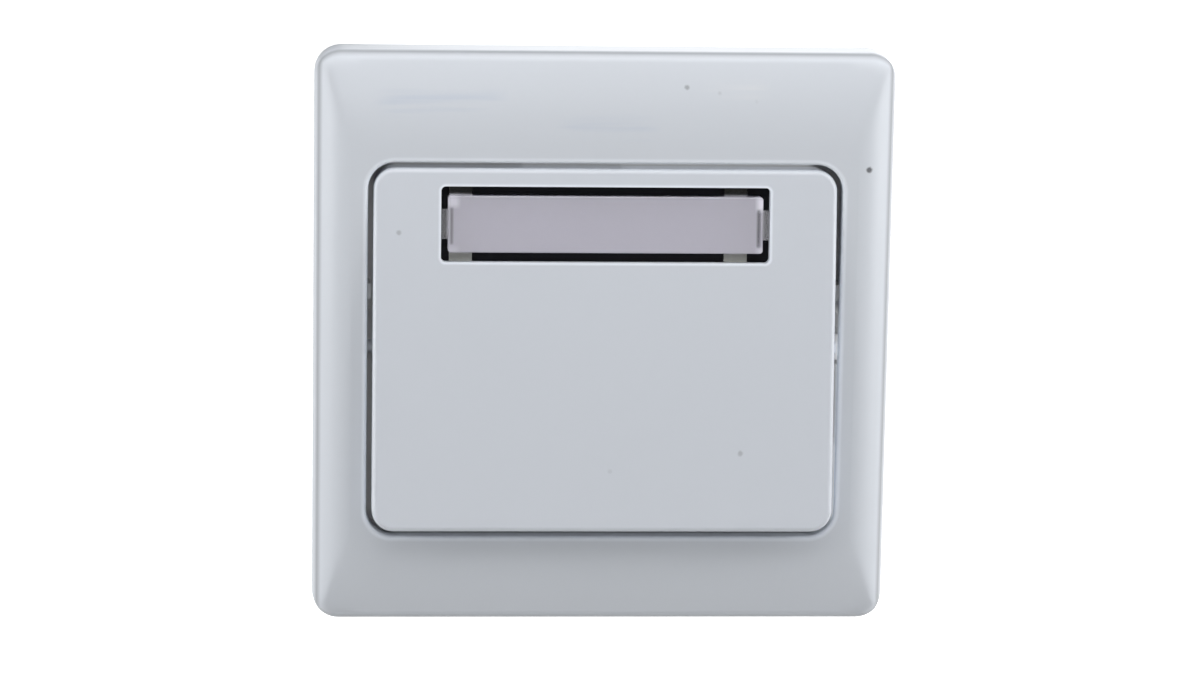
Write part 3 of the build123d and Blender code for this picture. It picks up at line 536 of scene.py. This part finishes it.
def drawnMetal(name, colour, roughness, stretch=(1, 1, 1), stain=0.25, tarnish=(0.35, 0.27, 0.15)):
    # plain metal with fine marks, which a stretch draws out along one axis, and slight staining
    material, tree, shader, at = startMaterial(name)
    turn = tree.nodes.new("ShaderNodeMapping")
    turn.inputs["Scale"].default_value = stretch
    tree.links.new(at, turn.inputs["Vector"])
    marks = placeGroup(tree, brushGroup, turn.outputs["Vector"], Fine=drawnSet["fine"], Stain=stain)
    tint = shadeColour(tree, colour, marks.outputs["Shade"])
    tint = blendColour(tree, tint, tarnish, marks.outputs["Stain"])
    least, most = [roughness * share for share in drawnSet["sway"]]
    rough = addRange(tree, marks.outputs["Height"], *groupSet["drawnFrom"], least, most)
    tree.links.new(tint, shader.inputs["Base Color"])
    tree.links.new(rough, shader.inputs["Roughness"])
    normal = addBump(tree, marks.outputs["Height"], drawnSet["bump"], drawnSet["height"])
    tree.links.new(normal, shader.inputs["Normal"])
    shader.inputs["Metallic"].default_value = 1.0
    return material


def dress(node, material):
    # a carried-over CAD node takes the material in all of its slots
    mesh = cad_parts[node].data
    if not mesh.materials:
        mesh.materials.append(material)
    for number in range(len(mesh.materials)):
        mesh.materials[number] = material


# where the bowed bands meet the side rolls, in mm
cornerSet = {
    "radius": 3.0, "samples": 6, "soft": 1.5,
    "boxes": [((x, -5.0, z), (3.6, 6.0, half))
              for x in (-40.2, 40.2) for z, half in ((-36.6, 6.2), (35.4, 7.6))],
}

# painted light in the gaps: an emission of the plastic's colour that lightens them; place and half size
# in mm, and strength as a share of the plastic's colour
paintedGapLightSet = {
    "rocker": [((-22.0, -5.0, 25.9), (10.6, 2.8, 0.9), 0.16), ((-5.0, -5.0, 25.9), (7.6, 2.8, 0.9), 0.23),
               ((17.0, -5.0, 25.9), (15.0, 2.8, 0.9), 0.30), ((34.9, -5.9, -1.8), (0.8, 0.8, 1.4), 0.42)],
    "support": [((-21.5, -2.2, 26.0), (10.1, 0.8, 0.9), 0.16), ((-5.0, -2.2, 26.0), (7.6, 0.8, 0.9), 0.23),
                ((16.5, -2.2, 26.0), (14.5, 0.8, 0.9), 0.30), ((-34.9, -2.2, -2.0), (0.8, 0.8, 25.0), 0.06),
                ((35.4, -2.2, -12.0), (0.6, 0.8, 16.0), 0.34), ((35.4, -2.2, -21.5), (0.6, 0.8, 6.0), 0.50),
                ((35.0, -5.6, -1.6), (0.9, 1.6, 2.6), 0.42)],
    "frame": [((35.05, -6.6, -12.0), (0.5, 1.2, 16.0), 0.5), ((35.05, -6.6, -21.5), (0.5, 1.2, 6.0), 0.68),
              ((0.0, -5.9, -29.7), (31.0, 1.9, 0.9), 0.06)],
}
# a painted highlight along the edge round an opening, in mm: centre, half size and corner of the opening,
# how far past it the middle of the band lies, half width of the band; then the gain by which it is lighter
paintedEdgeHighlightSet = {
    "frame": ((0.0, -1.5), (35.05, 28.2), 4.0, 0.30, 0.55, 1.32),
    "rocker": ((0.0, 17.66), (24.3, 5.58), 0.7, 0.16, 0.34, 1.35),
}

# colours and roughness of the large mouldings; gloss is the strength of the reflection; the rim shade
# is the middle and half width in mm of a line of painted shade round the frame's side, and its share of the
# colour
plasticSet = {
    "frameColour": (0.575, 0.604, 0.648), "frameRoughness": 0.33, "frameGloss": 0.30,
    "paintedRimShade": (-6.0, 0.8, 0.57), "frameSpecks": {"Scale": 70.0, "Size": 0.010, "Share": 0.85},
    "rockerColour": (0.58, 0.61, 0.66), "rockerRoughness": 0.34,
    "supportColour": (0.66, 0.67, 0.68), "housingColour": (0.035, 0.035, 0.038),
    "coverColour": (0.045, 0.045, 0.05), "dust": (0.05, 0.05, 0.055),
    "supportRoughness": 0.45, "housingRoughness": 0.5, "coverRoughness": 0.45,
    # grain of the dark pieces behind the wall
    "darkGrain": {"ripple": 1400.0, "rippleDepth": 0.06, "mottle": 0.25},
    # rings of ejector pins on the support and the cover: place and radius in mm
    "supportPins": [((x, 0.0, z), 2.2) for x in (-33.0, 33.0) for z in (-31.0, 31.0)],
    "coverPins": [((x, 18.4, z), 1.8) for x in (-15.0, 15.0) for z in (-4.0, 19.0)],
}
# dust and wiped patches where the photograph shows them, in mm: marks are place, radius and
# weight; smears are place, half size, colour and weight
wearSet = {
    "frameMarks": [((11.7, -7.93, 38.0), 0.34, 0.45), ((38.9, -8.55, 26.0), 0.42, 0.85),
                   ((16.5, -8.0, 37.2), 0.25, 0.15), ((22.0, -8.0, 36.0), 0.30, 0.12)],
    "rockerMarks": [((-30.5, -9.5, 16.4), 0.34, 0.32), ((20.4, -12.1, -16.2), 0.38, 0.32),
                    ((1.0, -12.3, -18.9), 0.30, 0.12)],
    "frameSmears": [((-24.3, -8.4, 35.6), (8.5, 3.0, 1.1), (0.47, 0.52, 0.61), 0.75),
                    ((0.1, -8.4, 32.0), (6.5, 3.0, 0.8), (0.47, 0.52, 0.61), 0.6),
                    ((19.0, -8.2, 37.6), (4.0, 3.0, 0.6), (0.70, 0.70, 0.70), 0.5)],
}
frameWhite = mouldedPlastic(
    "frameWhite", plasticSet["frameColour"], plasticSet["frameRoughness"], mottle=0.02,
    gloss=plasticSet["frameGloss"], paintedRimShade=plasticSet["paintedRimShade"], softCorners=cornerSet,
    paintedGapLight=paintedGapLightSet["frame"], paintedEdgeHighlight=paintedEdgeHighlightSet["frame"], marks=wearSet["frameMarks"],
    smears=wearSet["frameSmears"], dirt=plasticSet["dust"], speck=plasticSet["frameSpecks"],
)
rockerWhite = mouldedPlastic(
    "rockerWhite", plasticSet["rockerColour"], plasticSet["rockerRoughness"], mottle=0.015,
    paintedGapLight=paintedGapLightSet["rocker"], paintedEdgeHighlight=paintedEdgeHighlightSet["rocker"], marks=wearSet["rockerMarks"],
    dirt=plasticSet["dust"],
)
supportWhite = mouldedPlastic(
    "supportWhite", plasticSet["supportColour"], plasticSet["supportRoughness"], mottle=0.06,
    paintedGapLight=paintedGapLightSet["support"], pins=plasticSet["supportPins"],
)
housingDark = mouldedPlastic(
    "housingDark", plasticSet["housingColour"], plasticSet["housingRoughness"],
    **plasticSet["darkGrain"],
)
coverDark = mouldedPlastic(
    "coverDark", plasticSet["coverColour"], plasticSet["coverRoughness"],
    pins=plasticSet["coverPins"], **plasticSet["darkGrain"],
)
trayBlack = mouldedPlastic("trayBlack", (0.006, 0.006, 0.008), 0.8, mottle=0.3, gloss=0.12)
plungerWhite = mouldedPlastic("plungerWhite", (0.80, 0.79, 0.76), 0.35)
diffuserMilk = mouldedPlastic("diffuserMilk", (0.82, 0.82, 0.84), 0.4)
leadRed = mouldedPlastic("leadRed", (0.42, 0.02, 0.015), 0.45, mottle=0.1)

# the card: pulp fibres as fine bump, edges a little paler, and painted shadow by the clips at its ends;
# places, half sizes and soft rims in mm; bump is strength, and height in metres
cardSet = {
    "colour": (0.43, 0.41, 0.515), "roughness": 0.8, "middle": (0.0, -7.1, 17.45),
    "fibres": 5200.0, "bump": (0.15, 0.0002),
    "inner": (22.3, 3.0, 3.6), "innerSoft": 1.2, "edgeGain": 1.10,
    "clipX": 22.7, "clip": (0.22, 3.0, 2.7), "clipSoft": 0.35, "clipShadowColour": (0.16, 0.16, 0.18),
    "clipShadowWeight": 0.8,
}


def cardPaperFinish():
    material, tree, shader, at = startMaterial("cardPaper")
    skin = placeGroup(tree, grainGroup, at, Ripple_Scale=cardSet["fibres"], Mottle=0.06,
                      Roughness=cardSet["roughness"], Drift=0.05)
    tint = shadeColour(tree, cardSet["colour"], skin.outputs["Shade"])
    x, y, z = cardSet["middle"]
    inner = patchMask(tree, at, (x, y, z), cardSet["inner"], cardSet["innerSoft"])
    tint = shadeColour(tree, tint, addRange(tree, inner, 0.0, 1.0, cardSet["edgeGain"], 1.0))
    # painted shadow: darker marks at the card's ends where the clips stand
    for side in (-1, 1):
        clip = patchMask(tree, at, (side * cardSet["clipX"], y, z), cardSet["clip"], cardSet["clipSoft"])
        share = addMath(tree, "MULTIPLY", clip, cardSet["clipShadowWeight"])
        tint = blendColour(tree, tint, cardSet["clipShadowColour"], share)
    tree.links.new(tint, shader.inputs["Base Color"])
    tree.links.new(skin.outputs["Roughness"], shader.inputs["Roughness"])
    tree.links.new(addBump(tree, skin.outputs["Height"], *cardSet["bump"]), shader.inputs["Normal"])
    return material


cardPaper = cardPaperFinish()

# electrical parts: a body between two tinned legs, with bands round it; length of the body, and
# place, width and colour of each band, in mm; bump is strength, and height in metres
partSet = {
    "tin": (0.72, 0.72, 0.70), "bump": (0.05, 0.0001),
    "resistor": {"node": "lamp_resistor", "length": 6.2, "body": (0.60, 0.46, 0.27), "roughness": 0.38,
                 "bands": [(-2.1, 0.5, (0.16, 0.06, 0.02)), (-0.9, 0.5, (0.02, 0.02, 0.02)),
                           (0.2, 0.5, (0.62, 0.20, 0.02)), (1.9, 0.5, (0.50, 0.36, 0.10))]},
    "diode": {"node": "lamp_diode", "length": 4.2, "body": (0.02, 0.02, 0.022), "roughness": 0.34,
              "bands": [(1.35, 0.7, (0.62, 0.62, 0.62))]},
}


def bandedPart(name, part):
    # the body is the middle of the piece, as long as given; what is outside is tinned wire
    material, tree, shader, at = startMaterial(name)
    low, high = [Vector(p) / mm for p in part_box(part["node"])]
    middle, radius = (low + high) / 2, (high.z - low.z) / 2
    axisY = high.y - radius
    skin = placeGroup(tree, grainGroup, at, Ripple_Scale=1500.0, Mottle=0.08,
                      Roughness=part["roughness"], Drift=0.08)
    half = (part["length"] / 2, radius, radius)
    body = patchMask(tree, at, (middle.x, axisY, middle.z), half, 0.02)
    tint = part["body"]
    for place, width, colour in part["bands"]:
        centre = (middle.x + place, axisY, middle.z)
        band = patchMask(tree, at, centre, (width / 2, radius, radius), 0.05)
        tint = blendColour(tree, tint, colour, band)
    tint = shadeColour(tree, tint, skin.outputs["Shade"])
    tree.links.new(blendColour(tree, partSet["tin"], tint, body), shader.inputs["Base Color"])
    tree.links.new(addMath(tree, "SUBTRACT", 1.0, body), shader.inputs["Metallic"])
    tree.links.new(skin.outputs["Roughness"], shader.inputs["Roughness"])
    tree.links.new(addBump(tree, skin.outputs["Height"], *partSet["bump"]), shader.inputs["Normal"])
    return material


resistorBeige = bandedPart("resistorBeige", partSet["resistor"])
diodeBlack = bandedPart("diodeBlack", partSet["diode"])

# the three lamps, in mm: the box in front of the board that holds their resin, the distance
# between them, and depth, height, radius and weight of the chip seen through the resin; bump is
# strength, and height in metres
ledSet = {
    "resin": (0.82, 0.82, 0.78), "resinAt": (0.0, -0.4, 17.25), "resinHalf": (30.0, 3.95, 6.0),
    "pitch": 14.0, "chip": (0.80, 0.62, 0.16), "chipDepth": 1.6, "chipHeight": 17.25,
    "chipRadius": 1.55, "chipWeight": 0.6, "bump": (0.03, 0.0001),
}


def ledResinFinish():
    # resin in front of the board with a yellowish chip low in each dome; legs and solder behind it
    material, tree, shader, at = startMaterial("ledResin")
    skin = placeGroup(tree, grainGroup, at, Ripple_Scale=900.0, Mottle=0.05, Roughness=0.13, Drift=0.05)
    resin = patchMask(tree, at, ledSet["resinAt"], ledSet["resinHalf"], 0.1)
    tint = shadeColour(tree, ledSet["resin"], skin.outputs["Shade"])
    for side in (-1, 0, 1):
        centre = (side * ledSet["pitch"], ledSet["chipDepth"], ledSet["chipHeight"])
        chip = spotMask(tree, at, centre, ledSet["chipRadius"], 0.8, 0.2)
        share = addMath(tree, "MULTIPLY", chip, ledSet["chipWeight"])
        tint = blendColour(tree, tint, ledSet["chip"], share)
    tree.links.new(blendColour(tree, partSet["tin"], tint, resin), shader.inputs["Base Color"])
    tree.links.new(addMath(tree, "SUBTRACT", 1.0, resin), shader.inputs["Metallic"])
    tree.links.new(skin.outputs["Roughness"], shader.inputs["Roughness"])
    tree.links.new(addBump(tree, skin.outputs["Height"], *ledSet["bump"]), shader.inputs["Normal"])
    return material


ledResin = ledResinFinish()

# the board: green lacquer, tinned pads round the legs, and paler tracks between them;
# x and z of each pad, x and z with half sizes of each track, the board's middle and half size of
# a pad, in mm; bump is strength, and height in metres
boardSet = {
    "depth": 4.2, "padHalf": 0.75, "bump": (0.08, 0.0001),
    "green": (0.03, 0.16, 0.06), "track": (0.06, 0.26, 0.09), "tin": (0.66, 0.66, 0.63),
    "ledPads": [(x, 17.25) for x in (-15.27, -12.73, -1.27, 1.27, 12.73, 15.27)],
    "partPads": [(-13.0, 12.25), (-3.0, 12.25), (3.5, 12.25), (12.5, 12.25)],
    "tracks": [((-7.0, 17.25), (5.0, 0.35)), ((7.0, 17.25), (5.0, 0.35)), ((-14.2, 14.7), (0.35, 2.4)),
               ((14.2, 14.7), (0.35, 2.4)), ((0.0, 12.25), (3.0, 0.35))],
}


def boardGreenFinish():
    material, tree, shader, at = startMaterial("boardGreen")
    skin = placeGroup(tree, grainGroup, at, Ripple_Scale=2600.0, Mottle=0.3, Roughness=0.32, Drift=0.08)
    tint = shadeColour(tree, boardSet["green"], skin.outputs["Shade"])
    for (x, z), (halfX, halfZ) in boardSet["tracks"]:
        run = patchMask(tree, at, (x, boardSet["depth"], z), (halfX, 2.0, halfZ), 0.1)
        tint = blendColour(tree, tint, boardSet["track"], run)
    pads = None
    half = (boardSet["padHalf"], 2.0, boardSet["padHalf"])
    for x, z in boardSet["ledPads"] + boardSet["partPads"]:
        pad = patchMask(tree, at, (x, boardSet["depth"], z), half, 0.1)
        pads = pad if pads is None else addMath(tree, "MAXIMUM", pads, pad)
    tree.links.new(blendColour(tree, tint, boardSet["tin"], pads), shader.inputs["Base Color"])
    tree.links.new(pads, shader.inputs["Metallic"])
    tree.links.new(skin.outputs["Roughness"], shader.inputs["Roughness"])
    tree.links.new(addBump(tree, skin.outputs["Height"], *boardSet["bump"]), shader.inputs["Normal"])
    return material


boardGreen = boardGreenFinish()
screwZinc = drawnMetal("screwZinc", (0.66, 0.66, 0.64), 0.32, tarnish=(0.35, 0.33, 0.30))
screwBrass = drawnMetal("screwBrass", (0.78, 0.57, 0.27), 0.30)
blockBrass = drawnMetal("blockBrass", (0.80, 0.60, 0.30), 0.28, stretch=(1, 0.15, 1))
stripBrass = drawnMetal("stripBrass", (0.82, 0.62, 0.32), 0.25, stretch=(0.15, 1, 1))
tipSilver = drawnMetal("tipSilver", (0.86, 0.85, 0.82), 0.22, tarnish=(0.4, 0.38, 0.36))
springSteel = drawnMetal("springSteel", (0.50, 0.50, 0.51), 0.25, tarnish=(0.2, 0.19, 0.18))


# the lens: clear is the share of light and shadow the share of shadow rays that it lets through;
# soft rims are in mm; bump is strength, and height in metres
resinSet = {
    "tint": (0.90, 0.89, 0.95), "clear": 0.66, "roughness": 0.10, "shadow": 0.75,
    "gloss": 0.2, "ior": 1.49, "placeSoft": 0.35, "glintSoft": 0.8, "bump": (0.03, 0.0002),
    # painted shade: place, half size, colour and weight of the darker places on its top edge, its bottom
    # lugs and its ends, in mm
    "places": [
        ((0.0, -8.0, 22.65), (30.0, 4.0, 0.72), (0.02, 0.02, 0.015), 0.98),
        ((0.0, -8.0, 12.6), (30.0, 4.0, 0.75), (0.56, 0.57, 0.52), 0.9),
        ((-23.9, -8.0, 17.5), (0.5, 4.0, 3.0), (0.26, 0.26, 0.27), 0.9),
        ((23.9, -8.0, 17.5), (0.5, 4.0, 3.0), (0.40, 0.40, 0.42), 0.9),
        ((-22.75, -8.0, 17.4), (0.20, 4.0, 2.7), (0.22, 0.22, 0.24), 0.6),
        ((22.65, -8.0, 17.2), (0.26, 4.0, 2.8), (0.16, 0.16, 0.18), 0.7),
    ],
    # painted glints: an emission that lights its thick corners; place, half size and strength
    "glints": [
        ((-22.5, -8.0, 20.95), (0.75, 4.0, 0.75), 0.15),
        ((22.9, -8.0, 20.75), (0.5, 4.0, 0.95), 0.27),
        ((-22.6, -8.0, 13.8), (0.8, 4.0, 0.5), 0.05),
        ((22.9, -8.0, 13.8), (0.5, 4.0, 0.5), 0.10),
    ],
}


def clearResinFinish():
    # clear moulded window with a little milk in it; shadow rays mostly pass it, so what lies
    # behind it is lit
    material, tree, shader, at = startMaterial("lensClear")
    skin = placeGroup(tree, grainGroup, at, Ripple_Scale=600.0, Mottle=0.04,
                      Roughness=resinSet["roughness"], Drift=0.05)
    tint = shadeColour(tree, resinSet["tint"], skin.outputs["Shade"])
    # painted shade on the lens: its top edge, its bottom lugs and its ends made darker
    for centre, halfSize, colour, weight in resinSet["places"]:
        place = patchMask(tree, at, centre, halfSize, resinSet["placeSoft"])
        tint = blendColour(tree, tint, colour, addMath(tree, "MULTIPLY", place, weight))
    tree.links.new(tint, shader.inputs["Base Color"])
    # painted highlights: glints that glow as an emission at its corners
    glints = strongestPatch(tree, at, resinSet["glints"], resinSet["glintSoft"])
    tree.links.new(shadeColour(tree, resinSet["tint"], glints), shader.inputs["Emission Color"])
    shader.inputs["Emission Strength"].default_value = 1.0
    tree.links.new(skin.outputs["Roughness"], shader.inputs["Roughness"])
    tree.links.new(addBump(tree, skin.outputs["Height"], *resinSet["bump"]), shader.inputs["Normal"])
    path = tree.nodes.new("ShaderNodeLightPath")
    held = addMath(tree, "MULTIPLY", path.outputs["Is Shadow Ray"], resinSet["shadow"])
    tree.links.new(addMath(tree, "SUBTRACT", 1.0, held), shader.inputs["Alpha"])
    shader.inputs["Transmission Weight"].default_value = resinSet["clear"]
    shader.inputs["Specular IOR Level"].default_value = resinSet["gloss"]
    shader.inputs["IOR"].default_value = resinSet["ior"]
    return material


lensClear = clearResinFinish()

finishes = {
    "outer_frame": frameWhite, "rocker": rockerWhite, "support_plate": supportWhite,
    "window_lens": lensClear, "name_card": cardPaper, "light_diffuser": diffuserMilk,
    "card_tray": trayBlack, "mechanism_housing": housingDark, "rear_cover": coverDark,
    "housing_screws": screwZinc, "plunger": plungerWhite, "contact_spring": springSteel,
    "contact_bridge": stripBrass, "bridge_tips": tipSilver, "spring_retainer": screwZinc,
    "return_spring": springSteel, "fixed_contact_left": stripBrass,
    "fixed_contact_right": stripBrass, "fixed_tips": tipSilver, "terminal_blocks": blockBrass,
    "terminal_screws": screwBrass, "lamp_board": boardGreen, "lamp_leds": ledResin,
    "lamp_resistor": resistorBeige, "lamp_diode": diodeBlack, "lamp_leads": leadRed,
}
for nodeName, nodeMaterial in finishes.items():
    dress(nodeName, nodeMaterial)
print("materials made")


def tubePiece(name, grid, material):
    # a closed tube from a grid of points: rows run along it, columns go round it
    rows, columns = grid.shape[:2]
    number = np.arange(rows * columns).reshape(rows, columns)
    near, far = number[:-1], number[1:]
    around = [near, np.roll(near, -1, 1), np.roll(far, -1, 1), far]
    faces = np.stack(around, -1).reshape(-1, 4).tolist()
    faces += [number[0, ::-1].tolist(), number[-1].tolist()]
    mesh = bpy.data.meshes.new(name)
    mesh.from_pydata(grid.reshape(-1, 3).tolist(), [], faces)
    mesh.polygons.foreach_set("use_smooth", np.ones(len(faces), bool))
    mesh.materials.append(material)
    mesh.update()
    piece = bpy.data.objects.new(name, mesh)
    bpy.context.scene.collection.objects.link(piece)
    return piece


# compression springs along Y round the plunger's stem, in mm: wire is its radius; steps go along
# each turn and sides round the wire; closed is how much slower the depth runs at the ends, as a
# share; keep is the share of its length that is left at full press
springSet = {
    "bridgeSpring": {"radius": 2.05, "wire": 0.20, "turns": 3.0, "node": "contact_spring"},
    "returnSpring": {"radius": 2.20, "wire": 0.22, "turns": 5.0, "node": "return_spring"},
    "stemHeight": -15.5, "steps": 40, "sides": 14, "closed": 0.12, "keep": 0.85,
}


def springPiece(name, radius, wire, turns, node):
    # centreline: the angle grows evenly; the depth is the front plus the length times the share
    # run so far less a sine of it, closed / (2 pi) high, so the spring rises more slowly at its
    # ends; each ring is the centre plus the wire's radius times cosine outward and sine across
    low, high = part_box(node)
    front, back = low.y / mm + wire, high.y / mm - wire
    along = np.linspace(0.0, 1.0, int(turns * springSet["steps"]) + 1)
    angle = 2 * np.pi * turns * along
    slow = springSet["closed"]
    depth = front + (back - front) * (along - slow * np.sin(2 * np.pi * along) / (2 * np.pi))
    height = springSet["stemHeight"] + radius * np.sin(angle)
    centre = np.stack([radius * np.cos(angle), depth, height], -1)
    outward = np.stack([np.cos(angle), np.zeros_like(angle), np.sin(angle)], -1)
    heading = np.gradient(centre, axis=0)
    heading /= np.linalg.norm(heading, axis=1, keepdims=True)
    across = np.cross(heading, outward)
    turn = np.linspace(0.0, 2 * np.pi, springSet["sides"], endpoint=False)[None, :, None]
    grid = centre[:, None] + wire * (np.cos(turn) * outward[:, None] + np.sin(turn) * across[:, None])
    piece = tubePiece(name, grid * mm, springSteel)
    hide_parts(node)
    return piece


bridgeSpring = springPiece("bridgeSpring", **springSet["bridgeSpring"])
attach(bridgeSpring, "plunger_unit")
returnSpring = springPiece("returnSpring", **springSet["returnSpring"])
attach(returnSpring, "base")
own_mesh(returnSpring)
print("springs made")

# how far below the origin it lies and how far it reaches, in metres; lift is how bright the
# camera sees it
floorSet = {"drop": 0.080, "reach": 6.0, "lift": 1.0, "colour": (0.56, 0.56, 0.56)}


def makeFloor():
    # one flat square below the object, lifted to white where the camera looks at it
    reach, low = floorSet["reach"], -floorSet["drop"]
    mesh = bpy.data.meshes.new("studioFloor")
    corners = [(-reach, -reach, low), (reach, -reach, low), (reach, reach, low), (-reach, reach, low)]
    mesh.from_pydata(corners, [], [(0, 1, 2, 3)])
    floor = bpy.data.objects.new("studioFloor", mesh)
    bpy.context.scene.collection.objects.link(floor)
    material, tree, shader, at = startMaterial("floorPale")
    skin = placeGroup(tree, grainGroup, at, Ripple_Scale=30.0, Mottle=0.01, Roughness=0.8, Drift=0.02)
    tint = shadeColour(tree, floorSet["colour"], skin.outputs["Shade"])
    tree.links.new(tint, shader.inputs["Base Color"])
    tree.links.new(skin.outputs["Roughness"], shader.inputs["Roughness"])
    path = tree.nodes.new("ShaderNodeLightPath")
    seen = addMath(tree, "MAXIMUM", path.outputs["Is Camera Ray"], path.outputs["Is Glossy Ray"])
    seen = addMath(tree, "MAXIMUM", seen, path.outputs["Is Transmission Ray"])
    shader.inputs["Emission Color"].default_value = (1, 1, 1, 1)
    tree.links.new(addMath(tree, "MULTIPLY", seen, floorSet["lift"]), shader.inputs["Emission Strength"])
    mesh.materials.append(material)


makeFloor()
print("floor made")
